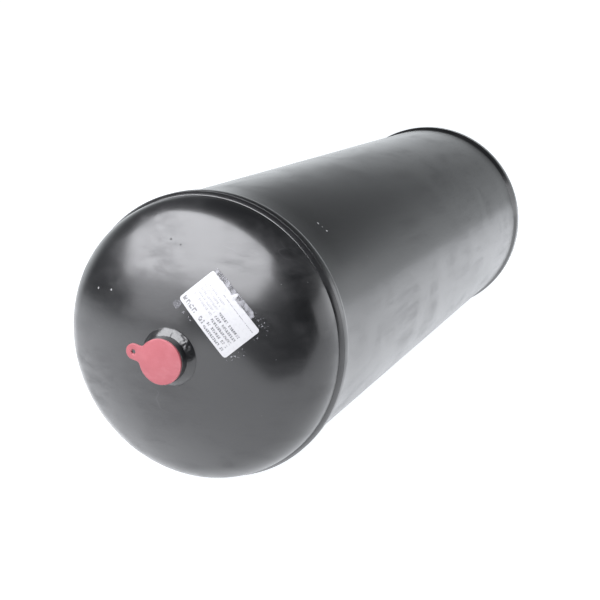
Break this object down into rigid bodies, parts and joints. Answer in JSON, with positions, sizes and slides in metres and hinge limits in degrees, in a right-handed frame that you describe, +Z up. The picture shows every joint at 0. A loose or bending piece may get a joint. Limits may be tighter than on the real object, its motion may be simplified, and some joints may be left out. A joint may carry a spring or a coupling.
{
  "type": "compressed air reservoir tank",
  "caption": "Black painted steel pressure tank: rolled shell, two domed heads and threaded port bosses closed by red pull-tab caps, with a data label on one head.",
  "frame": {"origin": "middle of the tank: on the shell's axis, half way between its two end faces", "axes": "+X along the tank's axis towards the rear head, +Z up with the tank lying on its two end rings, drain boss turned 34.5 degrees from straight down towards +Y"},
  "size_m": [0.7134, 0.2112, 0.2112],
  "materials": {
    "tank_paint": "semi-gloss black powder coat, slightly smudged and dusty",
    "weld_paint": "semi-gloss black powder coat over weld ripples",
    "boss_paint": "semi-gloss black outside, bare oiled steel in the thread",
    "cap_plastic": "satin moulded red polyethylene",
    "label_paper": "white printed label, satin",
    "label_film": "clear wrinkled laminate film with trapped air"
  },
  "bodies": {
    "tank": {"shell": "tank_paint", "front_head": "tank_paint", "rear_head": "tank_paint", "front_head_weld": "weld_paint", "rear_head_weld": "weld_paint", "shell_seam_weld": "weld_paint", "front_port_boss": "boss_paint", "rear_port_boss": "boss_paint", "drain_port_boss": "boss_paint", "front_boss_weld": "weld_paint", "rear_boss_weld": "weld_paint", "drain_boss_weld": "weld_paint", "data_label": "label_paper", "label_film": "label_film"},
    "front_cap": {"front_port_cap": "cap_plastic"},
    "rear_cap": {"rear_port_cap": "cap_plastic"},
    "drain_cap": {"drain_port_cap": "cap_plastic"}
  },
  "joints": [
    {"name": "front_cap_pull", "type": "slide", "parent": "tank", "child": "front_cap", "axis": [-1, 0, 0], "range_m": [0, 0.05]},
    {"name": "rear_cap_pull", "type": "slide", "parent": "tank", "child": "rear_cap", "axis": [1, 0, 0], "range_m": [0, 0.05]},
    {"name": "drain_cap_pull", "type": "slide", "parent": "tank", "child": "drain_cap", "axis": [0, 0.5664, -0.8241], "range_m": [0, 0.05]}
  ]
}
